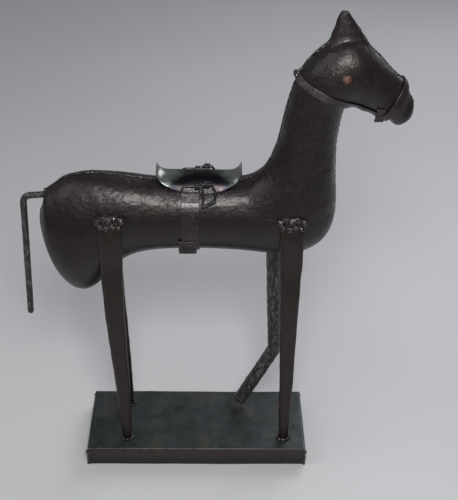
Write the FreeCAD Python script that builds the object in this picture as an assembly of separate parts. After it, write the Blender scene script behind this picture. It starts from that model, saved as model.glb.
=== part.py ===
"""Welded sheet-steel horse on a folded sheet-steel base.

Millimetres. +X is forward, towards the nose. +Z is up. The horse's right side faces -Y and its left
side +Y. The origin is on the floor, at the centre of the base's underside.
"""
import FreeCAD, Part
import math
import os

V = FreeCAD.Vector

# Sheet, bar and seam sizes
SHEET = 1.5                 # body, base and saddle sheet
SEAM_GAP = 1.2              # gap between the half shells that the seam weld fills
SEAM_PROUD = 0.6            # seam weld above the sheet
STRAP_SHEET = 1.5           # girth, noseband and reins

# Base: a pan folded from sheet, open underneath
BASE_LENGTH = 222.0
BASE_WIDTH = 84.0
BASE_HEIGHT = 22.6
BASE_FOLD_RADIUS = 1.4
BASE_WELD_RADIUS = 1.7

# Hollow body. Each section is an ellipse across the body: the x and z of its lowest and highest
# points on the mid-plane, and its half width.
BODY_SECTIONS = [
    (-137.6, 262.0, -137.6, 275.0, 4.0),
    (-136.4, 250.5, -136.4, 285.0, 11.5),
    (-133.2, 238.5, -133.2, 297.0, 19.0),
    (-128.0, 222.5, -128.0, 305.5, 25.0),
    (-118.0, 205.5, -118.0, 313.0, 29.0),
    (-106.0, 198.5, -106.0, 318.0, 31.0),
    (-94.0, 202.8, -94.0, 320.0, 31.0),
    (-80.0, 219.0, -80.0, 320.0, 30.0),
    (-64.0, 235.0, -64.0, 318.0, 29.0),
    (-45.0, 243.0, -45.0, 315.5, 28.0),
    (-20.0, 246.0, -20.0, 314.0, 28.0),
    (10.0, 246.5, 10.0, 314.0, 28.0),
    (38.0, 245.0, 35.0, 314.5, 28.0),
    (62.0, 242.0, 47.0, 317.0, 28.5),
    (84.0, 241.0, 54.0, 321.5, 29.5),
    (104.0, 247.3, 59.3, 327.6, 30.0),
    (118.2, 262.3, 63.6, 335.5, 29.0),
    (123.2, 283.5, 66.8, 344.6, 27.0),
    (122.0, 308.0, 70.0, 356.6, 25.0),
    (120.0, 330.0, 72.0, 367.6, 23.5),
    (119.0, 350.0, 74.0, 379.6, 22.5),
    (119.8, 366.0, 76.5, 390.6, 22.0),
    (121.4, 378.0, 79.0, 401.5, 21.5),
    (123.2, 385.0, 83.0, 412.4, 22.0),
    (124.6, 387.0, 88.8, 423.3, 23.0),
    (126.0, 388.0, 97.6, 433.6, 24.0),
    (128.0, 388.5, 108.4, 442.0, 24.0),
    (130.5, 388.0, 122.0, 447.0, 23.5),
    (134.0, 386.5, 135.0, 442.5, 22.0),
    (140.0, 384.0, 146.0, 433.0, 20.0),
    (148.0, 380.0, 156.5, 423.0, 17.5),
    (156.0, 376.0, 166.0, 412.5, 15.0),
    (164.0, 372.0, 173.5, 402.5, 12.8),
    (171.0, 370.0, 178.5, 393.0, 10.0),
    (175.5, 372.5, 180.3, 385.0, 6.0),
    (178.3, 376.5, 180.5, 380.0, 2.5),
]
NECK_CUT = 15               # the section where the trunk shells end and the neck shells begin
HEAD_CUT = 24               # the section where the neck shells end and the head shells begin

# Tapered hollow legs: height, x of the rear edge, x of the front edge, distance out of the middle
# of the leg, and thickness across
HIND_LEG = [
    (291.0, -84.0, -63.8, 27.6, 6.0),
    (284.0, -84.6, -63.9, 30.4, 7.6),
    (262.0, -84.8, -64.2, 31.0, 8.5),
    (215.0, -84.2, -65.4, 29.5, 8.5),
    (143.0, -81.4, -65.6, 28.0, 7.75),
    (75.0, -77.6, -65.6, 26.8, 7.0),
    (BASE_HEIGHT, -75.4, -66.4, 26.2, 6.0),
]
FRONT_LEG = [
    (291.0, 73.2, 93.6, 27.4, 6.0),
    (284.0, 73.1, 93.9, 29.9, 7.6),
    (262.0, 73.8, 94.6, 30.5, 8.5),
    (215.0, 76.3, 94.4, 29.3, 8.5),
    (143.0, 79.5, 94.4, 27.8, 7.5),
    (75.0, 82.3, 94.3, 26.8, 7.0),
    (BASE_HEIGHT, 84.3, 93.6, 26.0, 6.0),
]
LEFT_FOOT_INSET = 3.5       # the left hind foot stands this much nearer the middle
LEFT_HIND_SHIFT = (-9.0, -1.2)  # how far the left hind leg stands behind the right, top and foot

# Weld metal where a leg meets the body: share of the leg's width from its rear edge, height above
# the leg's shoulder, distance outside the middle of the leg, and the radius of each lump
TOP_WELD_LUMPS = [
    (0.00, 5.6, 0.2), (0.26, 7.6, -0.6), (0.50, 6.4, 0.0), (0.74, 7.8, -0.8), (1.00, 5.8, 0.0),
    (0.14, 1.6, 3.0), (0.40, 0.4, 3.4), (0.66, 1.9, 3.1), (0.90, 0.9, 2.8),
]
TOP_WELD_RADII = (3.7, 4.0, 4.3, 3.9, 3.5, 2.9, 3.1, 2.8, 2.7)

# Raised left front leg: round bar, bent at the knee
RAISED_LEG_RADIUS = 6.8
RAISED_LEG_Y = 21.0
RAISED_LEG_TOP = (70.4, 262.0)
RAISED_LEG_KNEE = (78.8, 103.0)
RAISED_LEG_END = (44.8, 31.5)
KNEE_BEND_RADIUS = 16.0

# Tail: round bar
TAIL_RADIUS = 3.0
TAIL_ROOT = (-128.0, 298.4)
TAIL_CORNER = (-151.6, 296.0)
TAIL_END = (-158.6, 167.5)
TAIL_BEND_RADIUS = 7.0

# Saddle: sheet arched across the back, its two ends flared upwards
SADDLE_REAR = -34.0
SADDLE_FRONT = 39.6
SADDLE_TOP = 321.7
SADDLE_ARCH_RADIUS = 18.2
SADDLE_REAR_RISE = 6.5      # how far each end is turned up
SADDLE_FRONT_RISE = 9.0
SADDLE_TURN_UP = 12         # the rise grows with this power of the distance from the middle
SADDLE_HALF_WIDTH = 17.2
SADDLE_END_HALF_WIDTH = 10.2
SADDLE_TAPER = 2.7          # the half width falls with this power of the distance from the middle
SADDLE_STATIONS = 17

# Girth: a flat strap under the belly, welded to a flat ring on each flap
GIRTH_REAR = -12.5
GIRTH_FRONT = 3.5
GIRTH_TOP = 303.0           # where the strap leaves the flank, at this distance out
GIRTH_LEAVES = 21.4
LAP_REAR = -15.2
LAP_FRONT = 0.8
LAP_UPPER = (26.9, 267.5)   # distance out and height where the strap's free end begins
LAP_LOWER = (13.8, 246.6)
LAP_THICKNESS = 1.8
RING_WIRE = 1.0
RING_MIDDLE = -4.2          # x
RING_HALF_LENGTH = 7.55
RING_HALF_HEIGHT = 2.7
RING_LOW = (18.3, 311.3)    # distance out and height of the ring's lower bar
RING_LEAN = 31.0            # degrees that the ring leans in from upright

# Stirrups: each hangs in a wound wire eye on the saddle's flap and swings outwards
PIVOT_X = 9.8
PIVOT_ANGLE = 47.0          # degrees round the saddle's arch from its top
STIRRUP_BAR_RADIUS = 1.2
EYE_CLEARANCE = 0.08
EYE_WIRE_RADIUS = 0.9
EYE_TURNS = (-1.9, 0.0, 1.9)    # x of the turns round the stirrup's bar, from the pivot
TIE_TURNS = (-9.9, -8.2, -6.5)  # x of the turns that tie the eye's wire to the girth ring
STIRRUP_CORNERS = [         # the bowed side and the foot bar: along the body, and below the top bar
    (4.0, 0.0), (7.4, -7.0), (6.4, -14.6), (-3.2, -19.4), (-4.0, 0.0),
]
STIRRUP_SIDE_RADIUS = 1.1
STIRRUP_FOOT_RADIUS = 1.6
STIRRUP_LEAN = 27.0         # degrees out of upright at which it rests on the flank

# Bridle
NOSEBAND_CENTRE = (161.9, 391.1)
NOSEBAND_TILT = 29.5        # degrees the band's plane leans forward at the top
NOSEBAND_WIDTH = 7.0
NOSEBAND_SHEET = 2.2
CHIN_REAR = 147.6           # the noseband's free end hangs below the jaw
CHIN_FRONT = 155.0
CHIN_UPPER = (14.6, 390.5)
CHIN_LOWER = (7.4, 376.0)
REIN_NOSE = (150.0, 381.5)
REIN_CREST = (81.0, 413.5)
REIN_WIDTH = 6.4
CREST_LUMP_RADIUS = 3.0

# Eyes and ears
EYE_SPOT = (119.6, 419.6)
EYE_RADIUS = 4.6
EYE_SUNK = 2.4              # how far the middle of the eye's ball is inside the skin
EAR_SECTIONS = [            # height, x of the middle, half length, half thickness
    (434.0, 122.6, 17.4, 4.4),
    (446.0, 121.0, 13.4, 3.7),
    (451.3, 119.8, 10.3, 3.1),
    (459.2, 117.7, 6.6, 2.3),
    (463.6, 117.0, 4.3, 1.7),
    (466.0, 117.0, 2.4, 1.2),
]
EAR_BASE_OUT = 5.2          # distance of each ear's base from the mid-plane
EAR_TIP_OUT = 2.0

SECTION_POINTS = 12         # points round each body section
FAR = 400.0                 # larger than the object, for cutting boxes


def ellipse_wire(points):
    """A closed smooth wire through points that go once round a section, with even parameters, so
    that every section of a loft has the same knots."""
    curve = Part.BSplineCurve()
    curve.interpolate(Points=points, PeriodicFlag=True, Parameters=list(range(len(points) + 1)))
    return Part.Wire(curve.toShape())


def body_section(section, grow):
    """One section of the body, its radii larger by grow."""
    low_x, low_z, high_x, high_z, half_width = section
    mid = V((low_x + high_x) / 2, 0, (low_z + high_z) / 2)
    up = V((high_x - low_x) / 2, 0, (high_z - low_z) / 2)
    up = up * ((up.Length + grow) / up.Length)
    points = []
    for step in range(SECTION_POINTS):
        turn = 2 * math.pi * step / SECTION_POINTS
        points.append(mid + up * math.cos(turn) + V(0, (half_width + grow) * math.sin(turn), 0))
    return ellipse_wire(points)


def body_loft(grow, sections=BODY_SECTIONS):
    return Part.makeLoft([body_section(s, grow) for s in sections], True, False)


def right_space():
    """All of space to the right of the seam."""
    return Part.makeBox(2 * FAR, FAR - SEAM_GAP / 2, 2 * FAR, V(-FAR, -FAR, -FAR / 4))


def ahead_of(section):
    """The space ahead of the plane that a body section lies in."""
    low_x, low_z, high_x, high_z, _ = section
    lean = math.degrees(math.atan2(high_x - low_x, high_z - low_z))
    box = Part.makeBox(FAR, FAR, 2 * FAR, V(0, -FAR / 2, -FAR))
    box.rotate(V(0, 0, 0), V(0, 1, 0), lean)
    box.translate(V((low_x + high_x) / 2, 0, (low_z + high_z) / 2))
    return box


def slab(centre, tilt, width, reach=60.0):
    """A flat slice of space of the given width. Its plane is upright across the body at tilt 0 and
    leans forward at the top for a positive tilt."""
    box = Part.makeBox(width, 2 * reach, 2 * reach, V(-width / 2, -reach, -reach))
    box.rotate(V(0, 0, 0), V(0, 1, 0), tilt)
    box.translate(V(centre[0], 0, centre[1]))
    return box


def swept_bar(path_points, radius, bend_radius):
    """A round bar along straight runs, with one bend between three points."""
    start, corner, end = path_points
    into = (corner - start).normalize()
    out = (end - corner).normalize()
    turn = into.getAngle(out)
    setback = bend_radius * math.tan(turn / 2)
    bend_start = corner - into * setback
    bend_end = corner + out * setback
    to_centre = (out - into).normalize() * (bend_radius / math.cos(turn / 2))
    centre = corner + to_centre
    middle = centre - to_centre.normalize() * bend_radius
    runs = [
        Part.makeLine(start, bend_start),
        Part.Arc(bend_start, middle, bend_end).toShape(),
        Part.makeLine(bend_end, end),
    ]
    profile = Part.Wire(Part.makeCircle(radius, start, into))
    return Part.Wire(runs).makePipeShell([profile], True, True)


def leg_section(row, side, grow):
    """A flattened round section of a tapered leg."""
    height, rear, front, out, thickness = row
    half_length = (front - rear) / 2 + grow
    half_thick = thickness / 2 + grow
    points = []
    for step in range(16):
        turn = math.radians(step * 22.5)
        squared = 1.0 + 0.10 * abs(math.sin(2 * turn))
        points.append(V((front + rear) / 2 + half_length * math.cos(turn) * squared,
                        side * out + half_thick * math.sin(turn) * squared, height))
    return ellipse_wire(points)


def leg_loft(rows, side, grow=0.0):
    return Part.makeLoft([leg_section(r, side, grow) for r in rows], True, False)


def leg(rows, side, body):
    """A rolled sheet leg, hollow, closed by the base below and by its weld above."""
    return largest(leg_loft(rows, side).cut(leg_loft(rows, side, -SHEET)).cut(body))


def largest(shape):
    return max(shape.Solids, key=lambda solid: solid.Volume)


def lumps(centres, radii, neighbours):
    """A run of weld metal: overlapping blobs, trimmed to the pieces that they join.

    Trimming a blob that only grazes a neighbour can leave a bad solid, and then a slightly larger
    set of blobs is trimmed instead.
    """
    for extra in (0.0, 0.06, 0.11, 0.17):
        blobs = [Part.makeSphere(radius + extra, centre) for centre, radius in zip(centres, radii)]
        run = blobs[0].multiFuse(blobs[1:])
        for neighbour in neighbours:
            run = run.cut(neighbour)
        if run.Solids and run.isValid():
            break
    return largest(run)


def mirrored(shape):
    """The same piece on the other side of the mid-plane."""
    return shape.mirror(V(0, 0, 0), V(0, 1, 0))


def flank_out(body, x, z):
    """How far out the body's skin is at x and z."""
    line = Part.makeLine(V(x, 0, z), V(x, -FAR / 4, z))
    return -min(v.Y for v in line.common(body).Vertexes)


def base_pan():
    outer = Part.makeBox(BASE_LENGTH, BASE_WIDTH, BASE_HEIGHT,
                         V(-BASE_LENGTH / 2, -BASE_WIDTH / 2, 0))
    top_edges = [e for e in outer.Edges if min(v.Z for v in e.Vertexes) > BASE_HEIGHT - 0.1]
    outer = outer.makeFillet(BASE_FOLD_RADIUS, top_edges)
    inner = Part.makeBox(BASE_LENGTH - 2 * SHEET, BASE_WIDTH - 2 * SHEET, BASE_HEIGHT,
                         V(-BASE_LENGTH / 2 + SHEET, -BASE_WIDTH / 2 + SHEET, -SHEET))
    return outer.cut(inner)


def base_corner_welds(pan):
    beads = []
    for x in (-1, 1):
        for y in (-1, 1):
            corner = V(x * (BASE_LENGTH / 2 - 0.8), y * (BASE_WIDTH / 2 - 0.8), 0)
            bead = Part.makeCylinder(BASE_WELD_RADIUS, BASE_HEIGHT - 3.0, corner)
            blob = Part.makeSphere(BASE_WELD_RADIUS + 0.5, corner + V(0, 0, BASE_HEIGHT - 5.0))
            beads.append(largest(bead.fuse(blob).cut(pan)))
    return Part.makeCompound(beads)


def saddle_station(x):
    """Top height, half width and depth of sheet, measured square to x, of the saddle at x."""
    middle = (SADDLE_REAR + SADDLE_FRONT) / 2
    half_length = (SADDLE_FRONT - SADDLE_REAR) / 2
    reach = abs(x - middle) / half_length
    rise = SADDLE_REAR_RISE if x < middle else SADDLE_FRONT_RISE
    slope = SADDLE_TURN_UP * rise * reach ** (SADDLE_TURN_UP - 1) / half_length
    half = SADDLE_HALF_WIDTH - (SADDLE_HALF_WIDTH - SADDLE_END_HALF_WIDTH) * reach ** SADDLE_TAPER
    return SADDLE_TOP + rise * reach ** SADDLE_TURN_UP, half, SHEET * math.hypot(1, slope)


def saddle_point(out_share, reach, x):
    """A point on the saddle's arch at x, with its radius changed by reach and out_share of the way
    from the middle to the flap's edge."""
    top, half, _ = saddle_station(x)
    turn = math.asin(half / SADDLE_ARCH_RADIUS) * out_share
    radius = SADDLE_ARCH_RADIUS + reach
    return V(x, radius * math.sin(turn), top - SADDLE_ARCH_RADIUS + radius * math.cos(turn))


def saddle():
    wires = []
    for step in range(SADDLE_STATIONS):
        share = 0.5 - 0.5 * math.cos(math.pi * step / (SADDLE_STATIONS - 1))
        x = SADDLE_REAR + (SADDLE_FRONT - SADDLE_REAR) * share
        depth = saddle_station(x)[2]
        outer = [saddle_point(s, 0.0, x) for s in (-1, 0, 1)]
        inner = [saddle_point(s, -depth, x) for s in (-1, 0, 1)]
        wires.append(Part.Wire(Part.__sortEdges__([
            Part.Arc(*outer).toShape(), Part.makeLine(outer[2], inner[2]),
            Part.Arc(*inner).toShape(), Part.makeLine(inner[0], outer[0])])))
    return Part.makeLoft(wires, True, False)


def pivot(side):
    """The point that a stirrup swings about."""
    reach = SADDLE_ARCH_RADIUS + 2 * EYE_WIRE_RADIUS + STIRRUP_BAR_RADIUS + EYE_CLEARANCE + 0.2
    turn = math.radians(PIVOT_ANGLE)
    return V(PIVOT_X, side * reach * math.sin(turn),
             SADDLE_TOP - SADDLE_ARCH_RADIUS + reach * math.cos(turn))


def stirrup_eye(side, saddle_shape, ring):
    """Wound wire: turns that hold the stirrup's bar and turns round the girth ring's upper bar,
    joined by a run of wire that lies on the saddle."""
    centre = pivot(side)
    turn_radius = STIRRUP_BAR_RADIUS + EYE_CLEARANCE + EYE_WIRE_RADIUS
    turns = [Part.makeTorus(turn_radius, EYE_WIRE_RADIUS, centre + V(dx, 0, 0), V(1, 0, 0))
             for dx in EYE_TURNS]
    tied = ring_frame(side).multVec(V(0, 0, 2 * RING_HALF_HEIGHT))
    for dx in TIE_TURNS:
        middle = V(centre.x + dx, tied.y, tied.z)
        turns.append(Part.makeTorus(RING_WIRE + EYE_WIRE_RADIUS, EYE_WIRE_RADIUS, middle, V(1, 0, 0)))
    lie = SADDLE_ARCH_RADIUS + EYE_WIRE_RADIUS - 0.2
    turn = math.radians(PIVOT_ANGLE - 4.0)
    start = V(centre.x + TIE_TURNS[0] - 1.5, side * lie * math.sin(turn),
              SADDLE_TOP - SADDLE_ARCH_RADIUS + lie * math.cos(turn))
    run = Part.makeCylinder(EYE_WIRE_RADIUS, EYE_TURNS[-1] - TIE_TURNS[0] + 2.5, start, V(1, 0, 0))
    bore = Part.makeCylinder(STIRRUP_BAR_RADIUS + EYE_CLEARANCE, 12.0,
                             centre - V(4.5, 0, 0), V(1, 0, 0))
    wound = turns[0].multiFuse(turns[1:] + [run])
    return largest(wound.cut(bore).cut(ring).cut(saddle_shape))


def stirrup(side):
    """A D-shaped loop of bar with a thicker foot bar, hanging from its top bar."""
    corners = [V(x, 0, z) for x, z in STIRRUP_CORNERS]
    radii = [STIRRUP_SIDE_RADIUS, STIRRUP_SIDE_RADIUS, STIRRUP_FOOT_RADIUS, STIRRUP_SIDE_RADIUS,
             STIRRUP_BAR_RADIUS]
    pieces = []
    for index, radius in enumerate(radii):
        a, b = corners[index], corners[(index + 1) % len(corners)]
        pieces.append(Part.makeCylinder(radius, (b - a).Length, a, b - a))
        pieces.append(Part.makeSphere(max(radius, radii[index - 1]), a))
    loop = pieces[0].multiFuse(pieces[1:])
    loop.rotate(V(0, 0, 0), V(1, 0, 0), side * STIRRUP_LEAN)
    loop.translate(pivot(side))
    return largest(loop)


def ring_frame(side):
    """Placement of a girth ring: its own x along the body, its own z up the flank."""
    turn = FreeCAD.Rotation(V(1, 0, 0), side * RING_LEAN)
    return FreeCAD.Placement(V(RING_MIDDLE, side * RING_LOW[0], RING_LOW[1]), turn)


def girth_ring(side):
    """A flattened loop of wire with round ends; its lower bar is at its frame's origin."""
    straight = RING_HALF_LENGTH - RING_HALF_HEIGHT
    pieces = []
    for x in (-1, 1):
        bend = Part.makeTorus(RING_HALF_HEIGHT, RING_WIRE, V(x * straight, 0, RING_HALF_HEIGHT),
                              V(0, 1, 0))
        keep = Part.makeBox(FAR, FAR, FAR, V(x * straight - (FAR if x < 0 else 0), -FAR / 2, -FAR / 2))
        pieces.append(bend.common(keep))
    for z in (0, 2 * RING_HALF_HEIGHT):
        pieces.append(Part.makeCylinder(RING_WIRE, 2 * straight, V(-straight, 0, z), V(1, 0, 0)))
    ring = pieces[0].multiFuse(pieces[1:])
    ring.Placement = ring_frame(side)
    return largest(ring)


def girth_strap(outside, body, trims):
    """The strap round the belly. Each end runs up off the flank to its ring's lower bar."""
    width = GIRTH_FRONT - GIRTH_REAR
    band = outside.common(slab(((GIRTH_REAR + GIRTH_FRONT) / 2, GIRTH_TOP - 60.0), 0.0, width))
    for side in (-1, 1):
        run = V(0, RING_LOW[0] - GIRTH_LEAVES, RING_LOW[1] - GIRTH_TOP)
        end = Part.makeBox(width, STRAP_SHEET, run.Length + 1.5, V(0, -STRAP_SHEET / 2, -1.5))
        end.rotate(V(0, 0, 0), V(1, 0, 0), math.degrees(math.atan2(run.y, run.z)))
        end.translate(V(GIRTH_REAR, -GIRTH_LEAVES, GIRTH_TOP))
        band = band.fuse(end if side < 0 else mirrored(end))
    band = band.cut(body)
    for trim in trims:
        band = band.cut(trim)
    return largest(band)


def strap_tongue(rear, front, upper, lower, strap, body):
    """A strap's stiff free end on the right side: a flat tongue from its upper to its lower point,
    each given as distance out and height."""
    run = V(0, upper[0] - lower[0], upper[1] - lower[1])
    box = Part.makeBox(front - rear, LAP_THICKNESS, run.Length, V(0, -LAP_THICKNESS, 0))
    box.rotate(V(0, 0, 0), V(1, 0, 0), math.degrees(math.atan2(run.y, run.z)))
    box.translate(V(rear, -lower[0], lower[1]))
    return largest(box.cut(strap).cut(body))


def strap_ring(outside, body, centre, tilt, width, trims=()):
    """A flat strap bent round the body in a tilted plane."""
    band = outside.common(slab(centre, tilt, width)).cut(body)
    for trim in trims:
        band = band.cut(trim)
    return largest(band)


def ear(side, body, seam):
    wires = []
    for height, middle, half_length, half_thick in EAR_SECTIONS:
        climb = (height - EAR_SECTIONS[0][0]) / (EAR_SECTIONS[-1][0] - EAR_SECTIONS[0][0])
        out = EAR_BASE_OUT + (EAR_TIP_OUT - EAR_BASE_OUT) * climb
        points = []
        for step in range(12):
            turn = math.radians(30 * step)
            points.append(V(middle + half_length * math.cos(turn),
                            side * out + half_thick * math.sin(turn), height))
        wires.append(ellipse_wire(points))
    return largest(Part.makeLoft(wires, True, False).cut(body).cut(seam))


def build():
    nodes = {}
    body = body_loft(0.0)
    hollow = body_loft(-SHEET, BODY_SECTIONS[2:-3])
    shell = body.cut(hollow)
    neck_space = ahead_of(BODY_SECTIONS[NECK_CUT])
    head_space = ahead_of(BODY_SECTIONS[HEAD_CUT])
    trunk = shell.cut(neck_space)
    neck = shell.common(neck_space).cut(head_space)
    head = shell.common(head_space)
    for name, part_shell in (("trunk", trunk), ("neck", neck), ("head", head)):
        half = largest(part_shell.common(right_space()))
        nodes["right_" + name + "_shell"] = half
        nodes["left_" + name + "_shell"] = mirrored(half)

    seam_space = Part.makeBox(2 * FAR, SEAM_GAP, 2 * FAR, V(-FAR, -SEAM_GAP / 2, -FAR / 4))
    seam = largest(body_loft(SEAM_PROUD).cut(hollow).common(seam_space))

    tail_path = [V(x, 0, z) for x, z in (TAIL_ROOT, TAIL_CORNER, TAIL_END)]
    tail = swept_bar(tail_path, TAIL_RADIUS, TAIL_BEND_RADIUS)
    tail_tip = Part.makeSphere(TAIL_RADIUS, tail_path[2])
    tail = largest(tail.fuse(tail_tip).cut(body).cut(seam))
    nodes["tail_rod"] = tail
    nodes["tail_weld"] = lumps(
        [V(TAIL_ROOT[0] - 2.4, y, TAIL_ROOT[1] + z)
         for y, z in ((-3.2, 0.6), (0, 3.3), (3.2, 0.4), (0, -3.2))],
        (2.7, 2.8, 2.6, 2.8), (tail, body, seam))

    nodes["right_hind_leg"] = leg(HIND_LEG, -1, body)
    left_rows = []
    for z, rear, front, out, thickness in HIND_LEG:
        down = (HIND_LEG[0][0] - z) / (HIND_LEG[0][0] - BASE_HEIGHT)
        shift = LEFT_HIND_SHIFT[0] + (LEFT_HIND_SHIFT[1] - LEFT_HIND_SHIFT[0]) * down
        left_rows.append((z, rear + shift, front + shift, out - LEFT_FOOT_INSET * down, thickness))
    nodes["left_hind_leg"] = leg(left_rows, 1, body)
    nodes["right_front_leg"] = leg(FRONT_LEG, -1, body)
    raised_path = [V(x, RAISED_LEG_Y, z)
                   for x, z in (RAISED_LEG_TOP, RAISED_LEG_KNEE, RAISED_LEG_END)]
    raised = swept_bar(raised_path, RAISED_LEG_RADIUS, KNEE_BEND_RADIUS).cut(body)
    nodes["left_front_leg"] = largest(raised)

    pan = base_pan()
    nodes["base_pan"] = pan
    nodes["base_corner_welds"] = base_corner_welds(pan)

    top_welds = []
    for rows, side in ((HIND_LEG, -1), (left_rows, 1), (FRONT_LEG, -1)):
        rear, front = rows[0][1], rows[0][2]
        centres = []
        for share, rise, proud in TOP_WELD_LUMPS:
            x = rear + (front - rear) * share
            centres.append(V(x, side * (rows[1][3] + proud), rows[1][0] + rise))
        top_welds.append(lumps(centres, TOP_WELD_RADII, (leg_loft(rows, side), body)))
    collar = []
    for step in range(6):
        turn = math.radians(60 * step)
        x = RAISED_LEG_TOP[0] + RAISED_LEG_RADIUS * math.cos(turn)
        y = RAISED_LEG_Y + RAISED_LEG_RADIUS * math.sin(turn)
        skin = body.common(Part.makeLine(V(x, y, 200), V(x, y, 280)))
        collar.append(V(x, y, min(v.Z for v in skin.Vertexes) - 0.4))
    top_welds.append(lumps(collar, (2.6, 2.4, 2.7, 2.5, 2.6, 2.4), (body, nodes["left_front_leg"])))
    nodes["leg_top_welds"] = Part.makeCompound(top_welds)

    foot_welds = []
    for rows, side in ((HIND_LEG, -1), (left_rows, 1), (FRONT_LEG, -1)):
        _, rear, front, out, thickness = rows[-1]
        ring = []
        for step in range(8):
            turn = math.radians(45 * step)
            ring.append(V((rear + front) / 2 + ((front - rear) / 2 + 0.6) * math.cos(turn),
                          side * out + (thickness / 2 + 0.6) * math.sin(turn), BASE_HEIGHT + 0.3))
        foot_welds.append(lumps(ring, (2.4, 2.0, 2.3, 2.1) * 2, (leg_loft(rows, side), pan)))
    nodes["foot_welds"] = Part.makeCompound(foot_welds)

    seat = saddle()
    nodes["saddle"] = seat
    strap_outside = body_loft(STRAP_SHEET)
    rings = {side: girth_ring(side) for side in (-1, 1)}
    below = Part.makeBox(2 * FAR, 2 * FAR, GIRTH_TOP, V(-FAR, -FAR, 0))
    strap = girth_strap(strap_outside.common(below), body, (seam, rings[-1], rings[1], seat))
    nodes["girth_strap"] = strap
    nodes["girth_lap"] = strap_tongue(LAP_REAR, LAP_FRONT, LAP_UPPER, LAP_LOWER, strap, body)
    saddle_welds = []
    for side in (-1, 1):
        for x in (-17.0, 20.0):
            centres = [saddle_point(side * 0.93, -SHEET - 1.7, x + dx) for dx in (-2.7, 0.1, 2.9)]
            saddle_welds.append(lumps(centres, (2.7, 3.0, 2.8), (body, seat)))
    nodes["saddle_welds"] = Part.makeCompound(saddle_welds)
    for name, side in (("right", -1), ("left", 1)):
        nodes[name + "_girth_ring"] = rings[side]
        nodes[name + "_stirrup_eye"] = stirrup_eye(side, seat, rings[side])
        nodes[name + "_stirrup"] = stirrup(side)

    noseband = strap_ring(body_loft(NOSEBAND_SHEET), body, NOSEBAND_CENTRE, NOSEBAND_TILT,
                          NOSEBAND_WIDTH, (seam,))
    nodes["noseband"] = noseband
    chin = strap_tongue(CHIN_REAR, CHIN_FRONT, CHIN_UPPER, CHIN_LOWER, noseband, body)
    nodes["noseband_lap"] = chin
    rein_tilt = math.degrees(math.atan2(REIN_NOSE[0] - REIN_CREST[0], REIN_NOSE[1] - REIN_CREST[1]))
    rein_middle = ((REIN_NOSE[0] + REIN_CREST[0]) / 2, (REIN_NOSE[1] + REIN_CREST[1]) / 2)
    behind_nose = Part.makeBox(FAR, FAR, FAR, V(0, -FAR / 2, -FAR / 2))
    behind_nose.rotate(V(0, 0, 0), V(0, 1, 0), NOSEBAND_TILT)
    behind_nose.translate(V(NOSEBAND_CENTRE[0] - NOSEBAND_WIDTH / 2 - 0.1, 0, NOSEBAND_CENTRE[1]))
    reins = strap_ring(strap_outside, body, rein_middle, rein_tilt, REIN_WIDTH,
                       (seam, behind_nose, noseband, chin))
    nodes["reins"] = reins
    nodes["crest_weld"] = lumps(
        [V(REIN_CREST[0] + 1.0, y, REIN_CREST[1] + 0.5) for y in (-2.6, 0.0, 2.6)],
        (CREST_LUMP_RADIUS - 0.4, CREST_LUMP_RADIUS, CREST_LUMP_RADIUS - 0.5), (body, seam, reins))

    nodes["right_ear"] = ear(-1, body, seam)
    nodes["left_ear"] = mirrored(nodes["right_ear"])
    eye_out = flank_out(body, *EYE_SPOT)
    eye = Part.makeSphere(EYE_RADIUS, V(EYE_SPOT[0], EYE_SUNK - eye_out, EYE_SPOT[1]))
    nodes["right_eye"] = largest(eye.cut(body))
    nodes["left_eye"] = mirrored(nodes["right_eye"])
    nodes["seam_weld"] = seam
    return nodes


os.makedirs("parts", exist_ok=True)
for node_name, shape in build().items():
    shape.exportStep(os.path.join("parts", node_name + ".step"))
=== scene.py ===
"""Looks of a welded sheet-steel horse with saddle, girth and bridle, on a folded sheet-steel base."""

import math

import bmesh
import bpy
import numpy as np
from mathutils import Matrix, Vector, noise
from mathutils.bvhtree import BVHTree


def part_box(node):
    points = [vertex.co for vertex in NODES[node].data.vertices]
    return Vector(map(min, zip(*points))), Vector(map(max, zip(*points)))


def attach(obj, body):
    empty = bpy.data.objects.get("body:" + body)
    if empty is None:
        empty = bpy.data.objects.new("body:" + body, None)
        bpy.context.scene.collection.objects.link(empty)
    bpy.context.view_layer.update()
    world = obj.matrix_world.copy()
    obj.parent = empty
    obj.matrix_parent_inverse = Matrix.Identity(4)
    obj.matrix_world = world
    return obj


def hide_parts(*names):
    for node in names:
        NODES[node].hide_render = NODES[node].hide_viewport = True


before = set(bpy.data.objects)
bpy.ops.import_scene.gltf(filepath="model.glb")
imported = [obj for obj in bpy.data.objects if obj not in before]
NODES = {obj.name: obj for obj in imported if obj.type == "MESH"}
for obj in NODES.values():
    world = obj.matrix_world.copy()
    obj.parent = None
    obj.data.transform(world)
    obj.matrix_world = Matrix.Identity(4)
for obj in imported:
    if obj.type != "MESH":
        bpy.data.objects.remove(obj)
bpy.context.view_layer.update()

MM = 0.001

# Sizes in metres.
# Below FLANK_LINE the belly's colour is also painted darker, as shade.
FLANK_LINE = 0.2898                    # height of the line between the rough back and the smooth belly
FLANK_ENDS = (-0.074, 0.082)           # where along the body that line fades out
SADDLE_SHEET = 1.5 * MM
SADDLE_RADIUS = 18.2 * MM              # of its arch
SADDLE_RISES = (6.5 * MM, 9.0 * MM)    # of its rear and front ends
SADDLE_HALF = 17.2 * MM                # half its width in the middle
SADDLE_NARROWING = 7.0 * MM            # how much less that is at each end
SADDLE_TAPER = 2.7                     # power that shapes the flaps' outline
SADDLE_TURN_UP = 12                    # power that shapes the turned-up ends


# ---------------------------------------------------------------- camera, light and floor

def aim(obj, target):
    obj.rotation_mode = "QUATERNION"
    obj.rotation_quaternion = (Vector(target) - obj.location).to_track_quat("-Z", "Y")


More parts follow.
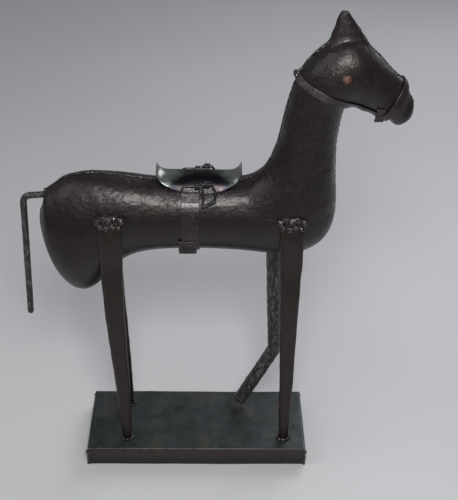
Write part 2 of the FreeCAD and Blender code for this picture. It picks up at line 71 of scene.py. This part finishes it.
def area_light(name, place, target, size, power, colour):
    data = bpy.data.lights.new(name, "AREA")
    data.shape = "RECTANGLE"
    data.size, data.size_y = size
    data.energy = power
    data.color = colour
    obj = bpy.data.objects.new(name, data)
    bpy.context.scene.collection.objects.link(obj)
    obj.location = place
    aim(obj, target)
    return obj


camera_data = bpy.data.cameras.new("camera")
camera_data.lens = 65.5
camera_data.sensor_width = 36.0
camera_data.clip_start = 0.01
camera_data.clip_end = 50.0
camera = bpy.data.objects.new("camera", camera_data)
bpy.context.scene.collection.objects.link(camera)
turn = Matrix.Rotation(math.radians(-1.305), 4, "Z")
tilt = Matrix.Rotation(math.radians(90.0 - 34.951), 4, "X")
roll = Matrix.Rotation(math.radians(1.131), 4, "Z")
camera.matrix_world = Matrix.Translation((0.01442, -0.68296, 0.71702)) @ turn @ tilt @ roll
bpy.context.scene.camera = camera
bpy.context.scene.view_settings.view_transform = "Standard"

world = bpy.data.worlds.new("studio")
world.use_nodes = True
backdrop = world.node_tree.nodes["Background"]
backdrop.inputs["Color"].default_value = (0.92, 0.91, 0.95, 1.0)
backdrop.inputs["Strength"].default_value = 0.20
bpy.context.scene.world = world

area_light("key", (0.05, -0.66, 0.90), (0.0, 0.0, 0.27), (0.26, 0.26), 5.5, (1.0, 0.98, 0.95))
area_light("window", (0.75, 0.95, 1.05), (0.05, 0.0, 0.30), (0.9, 0.9), 7.6, (0.93, 0.94, 1.0))
area_light("fill", (-0.9, -0.3, 1.1), (0.0, 0.0, 0.25), (0.8, 0.8), 3.0, (1.0, 0.97, 0.97))


# ---------------------------------------------------------------- materials

class Paint:
    """A node material under construction."""

    def __init__(self, name):
        self.material = bpy.data.materials.new(name)
        self.material.use_nodes = True
        self.tree = self.material.node_tree
        self.shader = self.tree.nodes["Principled BSDF"]
        self.place = self.tree.nodes.new("ShaderNodeTexCoord").outputs["Object"]

    def set(self, **values):
        for key, value in values.items():
            self.shader.inputs[key.replace("_", " ")].default_value = value
        return self

    def join(self, source, target):
        self.tree.links.new(source, target)

    def feed(self, node, key, value):
        if isinstance(value, bpy.types.NodeSocket):
            self.join(value, node.inputs[key])
        else:
            node.inputs[key].default_value = value

    def stretched(self, scale):
        node = self.tree.nodes.new("ShaderNodeMapping")
        self.join(self.place, node.inputs["Vector"])
        node.inputs["Scale"].default_value = scale
        return node.outputs["Vector"]

    def noise(self, size, detail=3.0, rough=0.55, distort=0.0, vector=None):
        """Noise whose features are about size metres across."""
        node = self.tree.nodes.new("ShaderNodeTexNoise")
        self.join(vector or self.place, node.inputs["Vector"])
        node.inputs["Scale"].default_value = 1.0 / size
        node.inputs["Detail"].default_value = detail
        node.inputs["Roughness"].default_value = rough
        node.inputs["Distortion"].default_value = distort
        return node.outputs["Fac"]

    def cells(self, size, smooth=0.6):
        """Rounded cells about size metres across."""
        node = self.tree.nodes.new("ShaderNodeTexVoronoi")
        node.feature = "SMOOTH_F1"
        self.join(self.place, node.inputs["Vector"])
        node.inputs["Scale"].default_value = 1.0 / size
        node.inputs["Smoothness"].default_value = smooth
        return node.outputs["Distance"]

    def ramp(self, factor, stops):
        """Maps a factor to colours or grey levels, given as (position, colour or level)."""
        node = self.tree.nodes.new("ShaderNodeValToRGB")
        self.join(factor, node.inputs["Fac"])
        bar = node.color_ramp
        while len(bar.elements) < len(stops):
            bar.elements.new(0.5)
        for element, (position, value) in zip(bar.elements, stops):
            colour = value if isinstance(value, tuple) else (value, value, value)
            element.position = position
            element.color = (*colour, 1.0)
        return node.outputs["Color"]

    def mix(self, factor, first, second, blend="MIX"):
        node = self.tree.nodes.new("ShaderNodeMix")
        node.data_type = "RGBA"
        node.blend_type = blend
        self.feed(node, 0, factor)
        for index, value in ((6, first), (7, second)):
            if isinstance(value, tuple):
                value = (*value, 1.0)
            self.feed(node, index, value)
        return node.outputs[2]

    def math(self, kind, first, second=0.0, third=0.0):
        node = self.tree.nodes.new("ShaderNodeMath")
        node.operation = kind
        for index, value in enumerate((first, second, third)):
            self.feed(node, index, value)
        return node.outputs["Value"]

    def axis(self, letter):
        node = self.tree.nodes.new("ShaderNodeSeparateXYZ")
        self.join(self.place, node.inputs["Vector"])
        return node.outputs[letter]

    def band(self, value, low, high):
        """0 below low, 1 above high, smooth between."""
        node = self.tree.nodes.new("ShaderNodeMapRange")
        node.interpolation_type = "SMOOTHSTEP"
        self.feed(node, "Value", value)
        node.inputs["From Min"].default_value = low
        node.inputs["From Max"].default_value = high
        return node.outputs["Result"]

    def edges(self, low, high):
        """1 on sharp convex edges, from the surface's pointiness."""
        geometry = self.tree.nodes.new("ShaderNodeNewGeometry")
        return self.band(geometry.outputs["Pointiness"], low, high)

    def bump(self, layers):
        """Bump from (height, depth in metres) layers."""
        normal = None
        for height, depth in layers:
            node = self.tree.nodes.new("ShaderNodeBump")
            node.inputs["Distance"].default_value = depth
            self.join(height, node.inputs["Height"])
            if normal is not None:
                self.join(normal, node.inputs["Normal"])
            normal = node.outputs["Normal"]
        self.join(normal, self.shader.inputs["Normal"])

    def finish(self, colour=None, roughness=None, metallic=None):
        for key, value in (("Base Color", colour), ("Roughness", roughness), ("Metallic", metallic)):
            if value is not None:
                self.join(value, self.shader.inputs[key])
        return self.material


def body_paint():
    """Varnished blackened steel, rough and glossy on the back, smoother on the belly, which is also painted darker
    as shade.
    """
    p = Paint("varnished_body_steel")
    tint = p.ramp(p.noise(22 * MM, 2.0), [
        (0.30, (0.0070, 0.0030, 0.0033)), (0.46, (0.0125, 0.0052, 0.0066)),
        (0.58, (0.0080, 0.0058, 0.0044)), (0.74, (0.0170, 0.0078, 0.0076)),
    ])
    grains = p.noise(1.3 * MM, 2.0, 0.6)
    speckled = p.mix(p.ramp(grains, [(0.52, 0.0), (0.74, 1.0)]), tint, (0.034, 0.029, 0.029))
    wobble = p.math("MULTIPLY_ADD", p.noise(14 * MM, 2.0), 2.4 * MM, p.axis("Z"))
    above_painted_belly_shade = p.band(wobble, FLANK_LINE + 0.6 * MM, FLANK_LINE + 2.2 * MM)
    # Painted shade: below the flank line the colour is mixed half with a darker brown.
    colour = p.mix(above_painted_belly_shade, p.mix(0.5, tint, (0.0090, 0.0034, 0.0040)), speckled)
    smears = p.ramp(p.noise(9 * MM, 3.0), [(0.35, 0.34), (0.65, 0.46)])
    roughness = p.mix(above_painted_belly_shade, p.ramp(p.noise(12 * MM), [(0.3, 0.42), (0.7, 0.56)]), smears)
    crinkle = p.cells(1.2 * MM, 0.5)
    fine = p.noise(0.7 * MM, 2.0, 0.6, 0.6)
    height = p.math("MULTIPLY", p.math("ADD", crinkle, fine), p.math("MULTIPLY_ADD", above_painted_belly_shade, 0.8, 0.2))
    p.bump([(height, 0.17 * MM)])
    p.set(Metallic=0.3, Coat_Weight=0.30, Coat_Roughness=0.26, Specular_IOR_Level=0.42)
    return p.finish(colour, roughness)


def leg_paint():
    """Brown-black varnished sheet, smooth with faint rolled streaks."""
    p = Paint("varnished_leg_steel")
    tint = p.ramp(p.noise(20 * MM, 2.0), [
        (0.32, (0.0115, 0.0054, 0.0050)), (0.50, (0.0165, 0.0098, 0.0070)), (0.68, (0.0160, 0.0070, 0.0092)),
    ])
    streaks = p.noise(2.4 * MM, 3.0, 0.6, 0.0, p.stretched((1.0, 1.0, 0.12)))
    colour = p.mix(p.ramp(streaks, [(0.48, 0.0), (0.75, 0.6)]), tint, (0.030, 0.0225, 0.0190))
    p.bump([(p.noise(7 * MM, 2.0), 0.35 * MM), (streaks, 0.08 * MM)])
    p.set(Metallic=0.3, Coat_Weight=0.14, Coat_Roughness=0.36, Specular_IOR_Level=0.40)
    return p.finish(colour, p.ramp(streaks, [(0.3, 0.40), (0.7, 0.55)]))


def bar_paint():
    """Forged round bar with grey streaks where the scale is rubbed."""
    p = Paint("forged_bar_steel")
    lengthwise = p.noise(2.2 * MM, 4.0, 0.62, 0.8, p.stretched((1.0, 1.0, 0.35)))
    colour = p.ramp(lengthwise, [
        (0.34, (0.018, 0.015, 0.016)), (0.52, (0.050, 0.044, 0.044)), (0.70, (0.20, 0.19, 0.185)),
    ])
    p.bump([(p.noise(3.2 * MM, 3.0), 0.5 * MM), (lengthwise, 0.18 * MM)])
    p.set(Metallic=0.5, Coat_Weight=0.15, Coat_Roughness=0.3)
    return p.finish(colour, p.ramp(lengthwise, [(0.3, 0.55), (0.7, 0.36)]))


def base_paint():
    """Sheet with a dark green, blue-grey and brown patina, and rubbed folds."""
    p = Paint("patina_base_steel")
    patches = p.noise(26 * MM, 5.0, 0.62, 0.7)
    tint = p.ramp(patches, [
        (0.30, (0.014, 0.020, 0.020)), (0.42, (0.026, 0.038, 0.034)),
        (0.52, (0.034, 0.046, 0.050)), (0.62, (0.056, 0.060, 0.050)), (0.74, (0.050, 0.038, 0.028)),
    ])
    spots = p.noise(5 * MM, 4.0, 0.65)
    tint = p.mix(p.ramp(spots, [(0.52, 0.0), (0.74, 0.75)]), tint, (0.032, 0.024, 0.018))
    top = p.band(p.axis("Z"), 20.5 * MM, 22.2 * MM)
    # The sides are darker and bluer towards the bottom.
    side = p.ramp(p.band(p.axis("Z"), 2 * MM, 17 * MM), [
        (0.0, (0.008, 0.010, 0.014)), (1.0, (0.036, 0.024, 0.021)),
    ])
    side = p.mix(p.ramp(spots, [(0.4, 0.0), (0.8, 0.8)]), side, (0.022, 0.018, 0.017))
    colour = p.mix(top, side, tint)
    # Lighter, rubbed fold edges.
    wear_and_edge_highlight = p.math("MULTIPLY", p.edges(0.52, 0.58), p.ramp(p.noise(6 * MM), [(0.35, 0.0), (0.6, 1.0)]))
    colour = p.mix(wear_and_edge_highlight, colour, (0.30, 0.29, 0.28))
    scratch = p.noise(1.2 * MM, 2.0, 0.5, 0.3, p.stretched((0.12, 1.0, 1.0)))
    colour = p.mix(p.ramp(scratch, [(0.66, 0.0), (0.72, 0.5)]), colour, (0.10, 0.11, 0.11))
    p.bump([(patches, 0.25 * MM), (spots, 0.12 * MM), (scratch, 0.03 * MM)])
    p.set(Metallic=0.5, Coat_Weight=0.2, Coat_Roughness=0.3)
    return p.finish(colour, p.ramp(spots, [(0.3, 0.34), (0.7, 0.56)]))


def weld_paint(name="weld_metal", crown=(0.17, 0.15, 0.15)):
    """Weld metal: lumpy, varnished, with a painted highlight on the bead crowns."""
    p = Paint(name)
    beads = p.noise(1.8 * MM, 3.0, 0.6)
    # The crown colour is a painted highlight on the tops of the beads.
    colour = p.ramp(beads, [(0.36, (0.014, 0.010, 0.010)), (0.56, (0.055, 0.045, 0.045)), (0.72, crown)])
    p.bump([(p.cells(1.7 * MM), 0.5 * MM), (beads, 0.3 * MM)])
    p.set(Metallic=0.7, Coat_Weight=0.5, Coat_Roughness=0.15)
    return p.finish(colour, p.ramp(beads, [(0.3, 0.42), (0.7, 0.24)]))


def saddle_paint():
    """Polished sheet with heat tint round the weld in the middle of each flap; further out, a dark ring and a
    bright outer band are painted reflections.
    """
    p = Paint("polished_saddle_steel")
    low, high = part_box("saddle")
    along = p.math("DIVIDE", p.math("SUBTRACT", p.axis("X"), (low.x + high.x) / 2 + 2 * MM), 33 * MM)
    above = p.math("DIVIDE", p.math("SUBTRACT", p.axis("Z"), low.z - 0.5 * MM), 14.5 * MM)
    away = p.math("SQRT", p.math("ADD", p.math("POWER", p.math("ABSOLUTE", along), 2.0),
                                 p.math("POWER", p.math("ABSOLUTE", above), 2.0)))
    away = p.math("MULTIPLY_ADD", p.math("SUBTRACT", p.noise(8 * MM, 3.0), 0.5), 0.22, away)
    # Heat tint near the weld; the dark ring and the bright outer band are painted reflections of the surroundings.
    heat_tint_and_painted_reflections = p.ramp(p.math("MULTIPLY", away, 0.7), [
        (0.00, (0.085, 0.080, 0.083)), (0.30, (0.066, 0.060, 0.064)), (0.46, (0.036, 0.028, 0.033)),
        (0.56, (0.012, 0.011, 0.018)), (0.66, (0.016, 0.018, 0.018)), (0.80, (0.21, 0.24, 0.23)),
        (1.00, (0.27, 0.29, 0.265)),
    ])
    spatter = p.ramp(p.noise(1.3 * MM, 3.0, 0.65), [(0.50, 0.0), (0.66, 0.7)])
    near_weld = p.band(p.math("SUBTRACT", 1.0, away), 0.30, 0.62)
    colour = p.mix(p.math("MULTIPLY", spatter, near_weld), heat_tint_and_painted_reflections, (0.30, 0.28, 0.28))
    rubbed = p.noise(1.0 * MM, 2.0, 0.5, 0.0, p.stretched((0.15, 1.0, 1.0)))
    rough_patch = p.math("MULTIPLY", near_weld, p.noise(1.5 * MM, 3.0))
    p.bump([(p.noise(11 * MM, 2.0), 0.3 * MM), (rough_patch, 0.35 * MM), (rubbed, 0.02 * MM)])
    p.set(Metallic=0.9)
    return p.finish(colour, p.mix(near_weld, p.ramp(rubbed, [(0.3, 0.24), (0.7, 0.36)]), (0.5, 0.5, 0.5)))


def strap_paint():
    """Flat strap steel: dark purple-brown, with a painted highlight in speckled grey on the girth's upper part and
    on the crest, and lighter along the edges as painted highlight.
    """
    p = Paint("strap_steel")
    blotch = p.noise(4.5 * MM, 4.0, 0.62)
    dark = p.ramp(blotch, [(0.35, (0.020, 0.013, 0.015)), (0.65, (0.040, 0.027, 0.029))])
    grey = p.ramp(blotch, [(0.35, (0.060, 0.052, 0.055)), (0.65, (0.17, 0.155, 0.16))])
    # Painted highlight: grey on the girth's upper part, where the light falls, and on the strap over the crest.
    wobble = p.math("MULTIPLY_ADD", p.noise(5 * MM, 2.0), 5 * MM, p.axis("Z"))
    girth_painted_highlight = p.math("MULTIPLY", p.band(wobble, 0.3010, 0.3050),
                      p.math("SUBTRACT", 1.0, p.band(p.axis("Z"), 0.330, 0.340)))
    crest_painted_highlight = p.math("MULTIPLY", p.band(p.axis("Z"), 0.386, 0.392),
                      p.math("SUBTRACT", 1.0, p.band(p.axis("X"), 0.096, 0.112)))
    colour = p.mix(p.math("MAXIMUM", girth_painted_highlight, p.math("MULTIPLY", crest_painted_highlight, 0.55)), dark, grey)
    # Painted highlight: lighter colour along the strips' convex edges.
    wear_and_edge_highlight = p.math("MULTIPLY", p.edges(0.52, 0.58), p.ramp(p.noise(5 * MM), [(0.35, 0.0), (0.6, 0.8)]))
    colour = p.mix(wear_and_edge_highlight, colour, (0.16, 0.145, 0.145))
    p.bump([(blotch, 0.2 * MM), (p.noise(1.0 * MM), 0.06 * MM)])
    p.set(Metallic=0.5, Coat_Weight=0.2, Coat_Roughness=0.3)
    return p.finish(colour, p.ramp(blotch, [(0.3, 0.34), (0.7, 0.50)]))


def tack_paint():
    """Dark glossy wire of the rings, eyes and stirrups."""
    p = Paint("tack_steel")
    blotch = p.noise(2.5 * MM, 4.0, 0.6)
    colour = p.ramp(blotch, [
        (0.35, (0.010, 0.009, 0.010)), (0.55, (0.022, 0.019, 0.021)), (0.75, (0.09, 0.085, 0.085)),
    ])
    p.bump([(blotch, 0.15 * MM)])
    p.set(Metallic=0.7, Coat_Weight=0.3, Coat_Roughness=0.2)
    return p.finish(colour, p.ramp(blotch, [(0.3, 0.30), (0.7, 0.44)]))


def eye_paint():
    """Rust-brown weld dot, mottled from dark brown to rust."""
    p = Paint("rusty_eye_steel")
    blotch = p.noise(2.0 * MM, 4.0, 0.65)
    colour = p.ramp(blotch, [
        (0.32, (0.024, 0.014, 0.011)), (0.48, (0.085, 0.042, 0.026)), (0.66, (0.22, 0.115, 0.065)),
    ])
    p.bump([(blotch, 0.3 * MM)])
    p.set(Metallic=0.2)
    return p.finish(colour, p.ramp(blotch, [(0.3, 0.45), (0.7, 0.65)]))


def cut_edge_paint():
    """Dark sheared edge of the saddle's sheet."""
    p = Paint("sheared_sheet_edge")
    grain = p.noise(1.2 * MM, 3.0)
    colour = p.ramp(grain, [(0.3, (0.010, 0.009, 0.009)), (0.7, (0.045, 0.038, 0.034))])
    p.bump([(grain, 0.08 * MM)])
    p.set(Metallic=0.6)
    return p.finish(colour, p.ramp(grain, [(0.3, 0.35), (0.7, 0.5)]))


def floor_paint():
    p = Paint("pale_floor")
    p.bump([(p.noise(0.004, 2.0), 0.02 * MM)])
    colour = p.ramp(p.noise(0.5, 2.0), [(0.3, (0.63, 0.64, 0.655)), (0.7, (0.67, 0.68, 0.695))])
    return p.finish(colour, p.ramp(p.noise(0.2), [(0.3, 0.38), (0.7, 0.44)]))


PAINTS = {
    "body_steel": body_paint(),
    "leg_steel": leg_paint(),
    "bar_steel": bar_paint(),
    "base_steel": base_paint(),
    "weld_metal": weld_paint(),
    "saddle_steel": saddle_paint(),
    "strap_steel": strap_paint(),
    "tack_steel": tack_paint(),
    "eye_rust": eye_paint(),
}
# The seam bead's crowns get a stronger painted highlight.
SEAM_PAINT = weld_paint("seam_weld_metal", (0.34, 0.32, 0.31))


# ---------------------------------------------------------------- mesh work

def points_of(mesh):
    points = np.empty(len(mesh.vertices) * 3)
    mesh.vertices.foreach_get("co", points)
    return points.reshape(-1, 3)


def normals_of(mesh):
    normals = np.empty(len(mesh.vertices) * 3)
    mesh.vertex_normals.foreach_get("vector", normals)
    return normals.reshape(-1, 3)


def put_points(mesh, points):
    mesh.vertices.foreach_set("co", np.ascontiguousarray(points, dtype=np.float32).ravel())
    mesh.update()


def joined(names):
    mesh = bpy.data.meshes.new("joined")
    work = bmesh.new()
    for name in names:
        work.from_mesh(NODES[name].data)
    work.to_mesh(mesh)
    work.free()
    return mesh


def largest_island(mesh):
    """Keeps the connected part with the most vertices, which is the outer skin."""
    work = bmesh.new()
    work.from_mesh(mesh)
    work.verts.ensure_lookup_table()
    mark = [-1] * len(work.verts)
    sizes = []
    for seed in work.verts:
        if mark[seed.index] >= 0:
            continue
        label = len(sizes)
        mark[seed.index] = label
        heap, count = [seed], 0
        while heap:
            vert = heap.pop()
            count += 1
            for edge in vert.link_edges:
                other = edge.other_vert(vert)
                if mark[other.index] < 0:
                    mark[other.index] = label
                    heap.append(other)
        sizes.append(count)
    best = sizes.index(max(sizes))
    lost = [v for v in work.verts if mark[v.index] != best]
    bmesh.ops.delete(work, geom=lost, context="VERTS")
    work.to_mesh(mesh)
    work.free()
    return mesh


def resurfaced(names, voxel, smooth=1, skin_only=False):
    """A fine even mesh over the named CAD solids taken together."""
    raw = joined(names)
    holder = bpy.data.objects.new("holder", raw)
    bpy.context.scene.collection.objects.link(holder)
    remesh = holder.modifiers.new("remesh", "REMESH")
    remesh.mode = "VOXEL"
    remesh.voxel_size = voxel
    remesh.use_smooth_shade = True
    if smooth:
        soften = holder.modifiers.new("soften", "SMOOTH")
        soften.factor = 0.5
        soften.iterations = smooth
    bpy.context.view_layer.update()
    graph = bpy.context.evaluated_depsgraph_get()
    mesh = bpy.data.meshes.new_from_object(holder.evaluated_get(graph))
    bpy.data.objects.remove(holder)
    bpy.data.meshes.remove(raw)
    if skin_only:
        largest_island(mesh)
    for polygon in mesh.polygons:
        polygon.use_smooth = True
    return mesh


def roughened(mesh, layers, where=None):
    """Moves each point along its normal by seeded noise; a layer is (size, depth, seed)."""
    points, normals = points_of(mesh), normals_of(mesh)
    lift = np.zeros(len(points))
    for size, depth, seed in layers:
        shift = Vector((seed * 3.17, seed * 1.31, seed * 2.23))
        wave = np.array([noise.noise(Vector(p) / size + shift) for p in points])
        lift += depth * wave
    if where is not None:
        lift = where(points, normals, lift)
    put_points(mesh, points + normals * lift[:, None])
    return mesh


def pressed(mesh, centre, direction, depth, reach):
    """Pushes the surface in round a point, which may be anywhere across the body's width."""
    points = points_of(mesh)
    away = np.hypot(points[:, 0] - centre[0], points[:, 2] - centre[1])
    shift = depth * np.exp(-(away / reach) ** 2)
    put_points(mesh, points + shift[:, None] * np.array(direction)[None, :])
    return mesh


def tree_of(names):
    work = bmesh.new()
    for name in names:
        work.from_mesh(NODES[name].data)
    tree = BVHTree.FromBMesh(work)
    work.free()
    return tree


def melted(mesh, first, second, reach, rounds):
    """Runs two parts of a skin into each other: smooths it wherever it is near both sets of nodes."""
    trees = [tree_of(first), tree_of(second)]
    work = bmesh.new()
    work.from_mesh(mesh)
    near = [v for v in work.verts if all(t.find_nearest(v.co, reach)[0] is not None for t in trees)]
    for _ in range(rounds):
        bmesh.ops.smooth_vert(work, verts=near, factor=0.5, use_axis_x=True, use_axis_y=True, use_axis_z=True)
    work.to_mesh(mesh)
    work.free()
    return mesh


def place(name, mesh, slot, nodes, body="figure", paint=None):
    piece = bpy.data.objects.new(name, mesh)
    bpy.context.scene.collection.objects.link(piece)
    mesh.materials.clear()
    mesh.materials.append(paint or PAINTS[slot])
    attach(piece, body)
    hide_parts(*nodes)
    return piece


def split_by_node(mesh, names):
    """Cuts a skin into one piece per CAD node, each face going to the node it lies on. The pieces
    share the whole skin's normals, so no line shows between them."""
    trees = [tree_of([name]) for name in names]
    normals = normals_of(mesh)
    centres = [p.center.copy() for p in mesh.polygons]
    reach = 4 * MM
    owner = []
    for centre in centres:
        best, choice = 1e9, 0
        for index, tree in enumerate(trees):
            hit = tree.find_nearest(centre, reach)
            if hit[0] is not None and hit[3] < best:
                best, choice = hit[3], index
        owner.append(choice)
    owner = np.array(owner)
    result = {}
    for index, name in enumerate(names):
        faces = [mesh.polygons[i].vertices[:] for i in np.nonzero(owner == index)[0]]
        used = sorted({v for face in faces for v in face})
        order = {v: i for i, v in enumerate(used)}
        piece = bpy.data.meshes.new(name)
        points = points_of(mesh)[used]
        piece.from_pydata(points.tolist(), [], [[order[v] for v in face] for face in faces])
        for polygon in piece.polygons:
            polygon.use_smooth = True
        piece.normals_split_custom_set_from_vertices(normals[used].tolist())
        result[name] = piece
    return result


# ---------------------------------------------------------------- body skin

FOREHEAD = ((0.1525, 0.4260), (-0.707, 0.0, -0.707), 1.6 * MM, 11 * MM)
BODY = [side + part for side in ("right_", "left_") for part in ("trunk_shell", "neck_shell", "head_shell", "ear")]


def beaten(points, normals, lift):
    """The back is worked all over; below the flank line the sheet is smoother and, between the legs,
    lies a little deeper."""
    wobble = np.array([noise.noise(Vector(p) / (14 * MM)) for p in points])
    above = np.clip((points[:, 2] + 1.2 * MM * wobble - FLANK_LINE) / (2.0 * MM), 0.0, 1.0)
    above = above * above * (3 - 2 * above)
    between = np.clip((points[:, 0] - FLANK_ENDS[0]) / (14 * MM), 0.0, 1.0)
    between *= np.clip((FLANK_ENDS[1] - points[:, 0]) / (14 * MM), 0.0, 1.0)
    step = 0.10 * MM * above - 0.20 * MM * (1 - above)
    return lift * (0.35 + 0.65 * above) + step * between


def body_skin():
    skin = resurfaced(BODY, 0.8 * MM, smooth=2, skin_only=True)
    melted(skin, ["right_ear", "left_ear"], ["right_head_shell", "left_head_shell"], 4.5 * MM, 30)
    pressed(skin, *FOREHEAD)
    roughened(skin, [(17 * MM, 0.45 * MM, 1), (6 * MM, 0.20 * MM, 2), (2.2 * MM, 0.12 * MM, 3)], beaten)
    for name, mesh in split_by_node(skin, BODY).items():
        place(name + "_skin", mesh, "body_steel", [name])
    bpy.data.meshes.remove(skin)


body_skin()

# ---------------------------------------------------------------- legs, bar, tail and base

for leg in ("right_hind_leg", "left_hind_leg", "right_front_leg"):
    mesh = roughened(resurfaced([leg], 0.75 * MM), [(12 * MM, 0.45 * MM, 4), (4 * MM, 0.10 * MM, 5)])
    place(leg + "_sheet", mesh, "leg_steel", [leg])

mesh = roughened(resurfaced(["left_front_leg"], 0.6 * MM), [(9 * MM, 0.5 * MM, 6), (3 * MM, 0.35 * MM, 7)])
place("raised_leg_bar", mesh, "bar_steel", ["left_front_leg"])
mesh = roughened(resurfaced(["tail_rod"], 0.4 * MM), [(7 * MM, 0.18 * MM, 8), (2 * MM, 0.08 * MM, 9)])
place("tail_bar", mesh, "bar_steel", ["tail_rod"])
mesh = roughened(resurfaced(["base_pan"], 0.85 * MM), [(45 * MM, 0.5 * MM, 10), (9 * MM, 0.10 * MM, 11)])
points = points_of(mesh)
points[:, 2] = np.maximum(points[:, 2], 0.0)
put_points(mesh, points)
place("base_sheet", mesh, "base_steel", ["base_pan"])

# ---------------------------------------------------------------- welds

for weld, voxel in (
    ("base_corner_welds", 0.45), ("tail_weld", 0.35), ("leg_top_welds", 0.40),
    ("foot_welds", 0.40), ("saddle_welds", 0.35), ("crest_weld", 0.30),
):
    mesh = resurfaced([weld], voxel * MM)
    roughened(mesh, [(3.4 * MM, 0.55 * MM, 12), (1.5 * MM, 0.35 * MM, 13)])
    place(weld + "_metal", mesh, "weld_metal", [weld])

mesh = pressed(resurfaced(["seam_weld"], 0.4 * MM, 0), *FOREHEAD)
roughened(mesh, [(3.0 * MM, 0.35 * MM, 14), (1.4 * MM, 0.25 * MM, 15)])
place("seam_bead", mesh, "weld_metal", ["seam_weld"], paint=SEAM_PAINT)

# ---------------------------------------------------------------- straps and tack

for strap in ("girth_strap", "girth_lap", "noseband", "noseband_lap", "reins"):
    mesh = roughened(resurfaced([strap], 0.40 * MM), [(9 * MM, 0.22 * MM, 16), (2.2 * MM, 0.10 * MM, 17)])
    place(strap + "_strip", mesh, "strap_steel", [strap])


def pitted(points, normals, lift):
    """Only pits, so that the stirrup's bar still turns freely in its eye."""
    return -np.abs(lift)


for side in ("right", "left"):
    mesh = roughened(resurfaced([side + "_girth_ring"], 0.25 * MM), [(2.5 * MM, 0.14 * MM, 18)])
    place(side + "_girth_ring_wire", mesh, "tack_steel", [side + "_girth_ring"])
    mesh = roughened(resurfaced([side + "_stirrup_eye"], 0.20 * MM), [(2.0 * MM, 0.10 * MM, 19)], pitted)
    place(side + "_stirrup_eye_wire", mesh, "tack_steel", [side + "_stirrup_eye"])
    mesh = roughened(resurfaced([side + "_stirrup"], 0.25 * MM), [(2.5 * MM, 0.12 * MM, 20)], pitted)
    place(side + "_stirrup_bow", mesh, "tack_steel", [side + "_stirrup"], side + "_stirrup_body")
    mesh = roughened(resurfaced([side + "_eye"], 0.30 * MM), [(2.0 * MM, 0.45 * MM, 21)])
    place(side + "_eye_dot", mesh, "eye_rust", [side + "_eye"])


# ---------------------------------------------------------------- saddle

def saddle_sheet():
    """The arched sheet with its two ends turned up, as one closed surface. Its cut edge takes the
    second material."""
    low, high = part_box("saddle")
    middle, half_length = (low.x + high.x) / 2, (high.x - low.x) / 2
    crown = high.z - SADDLE_RISES[1]
    along, across = 220, 100
    work = bmesh.new()
    outer, inner = [], []
    for i in range(along + 1):
        s = math.sin(math.pi / 2 * (-1 + 2 * i / along))
        reach = abs(s)
        rise = SADDLE_RISES[0] if s < 0 else SADDLE_RISES[1]
        slope = SADDLE_TURN_UP * rise * reach ** (SADDLE_TURN_UP - 1) / half_length
        depth = SADDLE_SHEET * math.hypot(1, slope)
        half = SADDLE_HALF - SADDLE_NARROWING * reach ** SADDLE_TAPER
        top = crown + rise * reach ** SADDLE_TURN_UP
        sweep = math.asin(half / SADDLE_RADIUS)
        for rows, radius in ((outer, SADDLE_RADIUS), (inner, SADDLE_RADIUS - depth)):
            row = []
            for j in range(across + 1):
                turn = sweep * (-1 + 2 * j / across)
                spot = (middle + s * half_length, radius * math.sin(turn),
                        top - SADDLE_RADIUS + radius * math.cos(turn))
                row.append(work.verts.new(spot))
            rows.append(row)
    for i in range(along):
        for j in range(across):
            corners = (i, j), (i + 1, j), (i + 1, j + 1), (i, j + 1)
            work.faces.new([outer[m][n] for m, n in corners])
            work.faces.new([inner[m][n] for m, n in reversed(corners)])
    ring = [(i, 0) for i in range(along)] + [(along, j) for j in range(across)]
    ring += [(i, across) for i in range(along, 0, -1)] + [(0, j) for j in range(across, 0, -1)]
    for (i, j), (m, n) in zip(ring, ring[1:] + ring[:1]):
        work.faces.new([outer[i][j], inner[i][j], inner[m][n], outer[m][n]]).material_index = 1
    bmesh.ops.recalc_face_normals(work, faces=work.faces)
    mesh = bpy.data.meshes.new("saddle_sheet")
    work.to_mesh(mesh)
    work.free()
    return roughened(mesh, [(13 * MM, 0.22 * MM, 22)])


saddle = place("saddle_sheet", saddle_sheet(), "saddle_steel", ["saddle"])
saddle.data.materials.append(cut_edge_paint())
rim = saddle.modifiers.new("rim", "BEVEL")
rim.width = 0.3 * MM
rim.segments = 2
rim.limit_method = "ANGLE"
rim.material = 1
for polygon in saddle.data.polygons:
    polygon.use_smooth = True

# ---------------------------------------------------------------- floor

floor_mesh = bpy.data.meshes.new("floor")
floor_mesh.from_pydata([(-4, -3, 0), (4, -3, 0), (4, 5, 0), (-4, 5, 0)], [], [(0, 1, 2, 3)])
floor_mesh.materials.append(floor_paint())
floor = bpy.data.objects.new("floor", floor_mesh)
floor.location.z = -0.0002
bpy.context.scene.collection.objects.link(floor)
